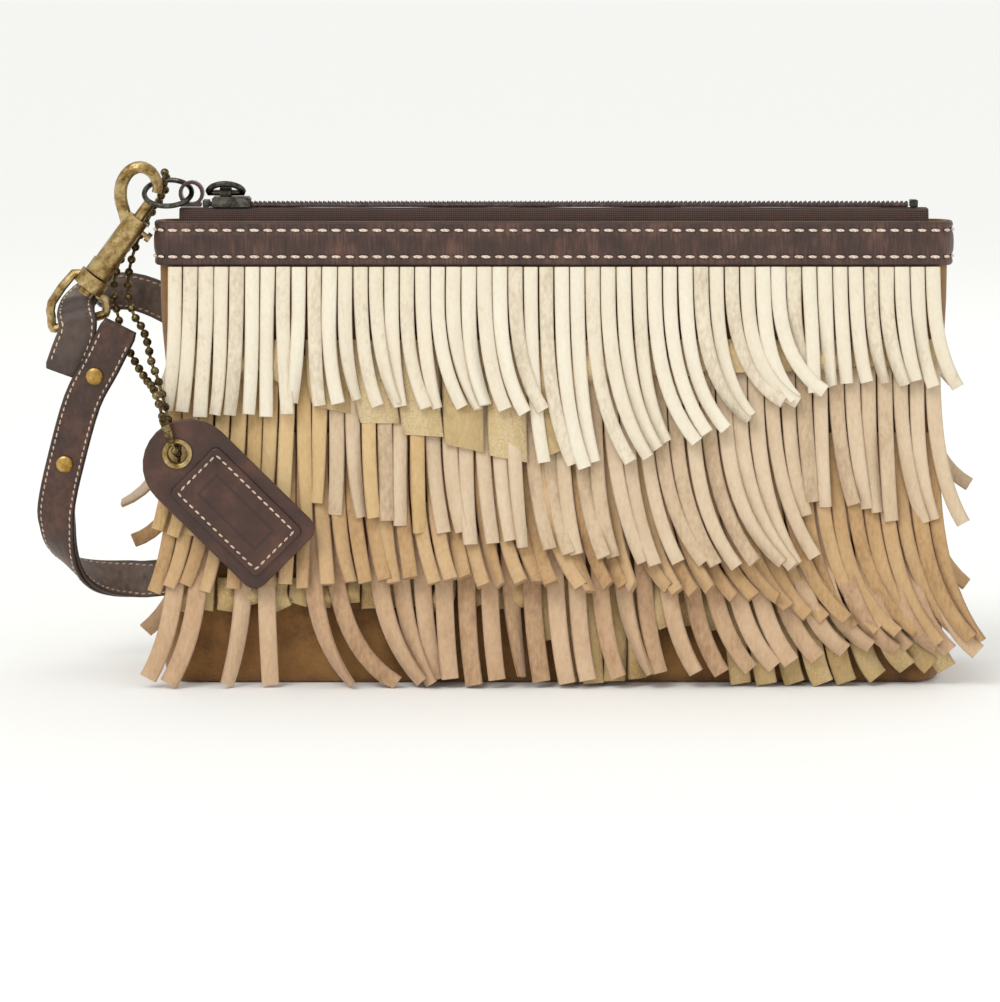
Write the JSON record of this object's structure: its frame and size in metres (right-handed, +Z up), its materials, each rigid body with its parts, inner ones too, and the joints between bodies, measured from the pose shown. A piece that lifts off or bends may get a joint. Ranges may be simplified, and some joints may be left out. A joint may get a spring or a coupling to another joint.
{
  "type": "fringed suede wristlet pouch",
  "caption": "Zip-top suede wristlet pouch with tiers of cut fringe, leather bands, a snap-hook wrist strap and a leather hang tag on a ball chain.",
  "frame": {"origin": "centre of the flat base", "axes": "+X along the pouch towards the zip's open end, -Y towards the face with the hang tag, +Z up"},
  "size_m": [0.2433, 0.0585, 0.1362],
  "materials": {
    "body_suede": "napped suede",
    "lining_cloth": "plain woven",
    "leather": "waxed, satin",
    "strap_lining": "worn, matt",
    "zip_tape": "woven",
    "zip_coil": "nylon",
    "gunmetal": "dark plated",
    "brass": "antiqued, satin",
    "chain_metal": "dark antiqued",
    "fringe_cream": "napped suede",
    "fringe_gold": "metallic foil on suede",
    "fringe_beige": "napped suede",
    "fringe_camel": "napped suede",
    "fringe_rose": "napped suede",
    "fringe_base_gold": "metallic foil on suede"
  },
  "bodies": {
    "pouch": {"pouch_shell": "body_suede", "lining": "lining_cloth", "band_front": "leather", "band_back": "leather", "zip_tape_front": "zip_tape", "zip_tape_back": "zip_tape", "zip_coil_front": "zip_coil", "zip_coil_back": "zip_coil", "top_stop_front": "gunmetal", "top_stop_back": "gunmetal", "bottom_stop": "gunmetal", "ring_tab": "leather", "fringe_front_1": "fringe_cream", "fringe_front_2": "fringe_gold", "fringe_front_3": "fringe_beige", "fringe_front_4": "fringe_camel", "fringe_front_5": "fringe_rose", "fringe_front_6": "fringe_base_gold", "fringe_back_1": "fringe_cream", "fringe_back_2": "fringe_gold", "fringe_back_3": "fringe_beige", "fringe_back_4": "fringe_camel", "fringe_back_5": "fringe_rose", "fringe_back_6": "fringe_base_gold"},
    "slider": {"slider": "gunmetal"},
    "pull": {"pull": "gunmetal"},
    "ring": {"hook_ring": "gunmetal", "ball_chain": "chain_metal", "chain_connector": "chain_metal"},
    "hook": {"snap_hook": "brass"},
    "bolt": {"bolt": "brass", "bolt_spring": "gunmetal"},
    "eye": {"swivel_eye": "brass"},
    "strap": {"strap_outer": "leather", "strap_lining": "strap_lining", "rivet_upper": "brass", "rivet_lower": "brass"},
    "tag": {"tag_board": "leather", "tag_patch": "leather", "eyelet": "brass"}
  },
  "joints": [
    {"name": "zip_slide", "type": "slide", "parent": "pouch", "child": "slider", "axis": [1, 0, 0], "range_m": [0, 0.17]},
    {"name": "pull_swing", "type": "hinge", "parent": "slider", "child": "pull", "pos_m": [-0.086, 0, 0.1279], "axis": [1, 0, 0], "range_deg": [-130, 30]},
    {"name": "ring_swing", "type": "hinge", "parent": "pouch", "child": "ring", "pos_m": [-0.095, 0, 0.1278], "axis": [0, 1, 0], "range_deg": [0, 90]},
    {"name": "hook_turn", "type": "hinge", "parent": "ring", "child": "hook", "pos_m": [-0.1074, 0, 0.1278], "axis": [0, 0.866, 0.5], "range_deg": [0, 45], "deforming": ["ball_chain"]},
    {"name": "bolt_slide", "type": "slide", "parent": "hook", "child": "bolt", "axis": [-0.5962, 0, -0.8028], "range_m": [0, 0.004], "stiffness_N_per_m": 400, "deforming": ["bolt_spring"]},
    {"name": "eye_swivel", "type": "hinge", "parent": "hook", "child": "eye", "pos_m": [-0.12146, 0, 0.10442], "axis": [-0.5962, 0, -0.8028], "range_deg": [-180, 0]},
    {"name": "strap_swing", "type": "hinge", "parent": "eye", "child": "strap", "pos_m": [-0.125, 0, 0.094], "axis": [0.9632, 0, 0.2689], "range_deg": [0, 5]},
    {"name": "tag_swing", "type": "hinge", "parent": "ring", "child": "tag", "pos_m": [-0.0975, -0.0235, 0.0619], "axis": [0, 1, 0], "range_deg": [-20, 60]}
  ]
}
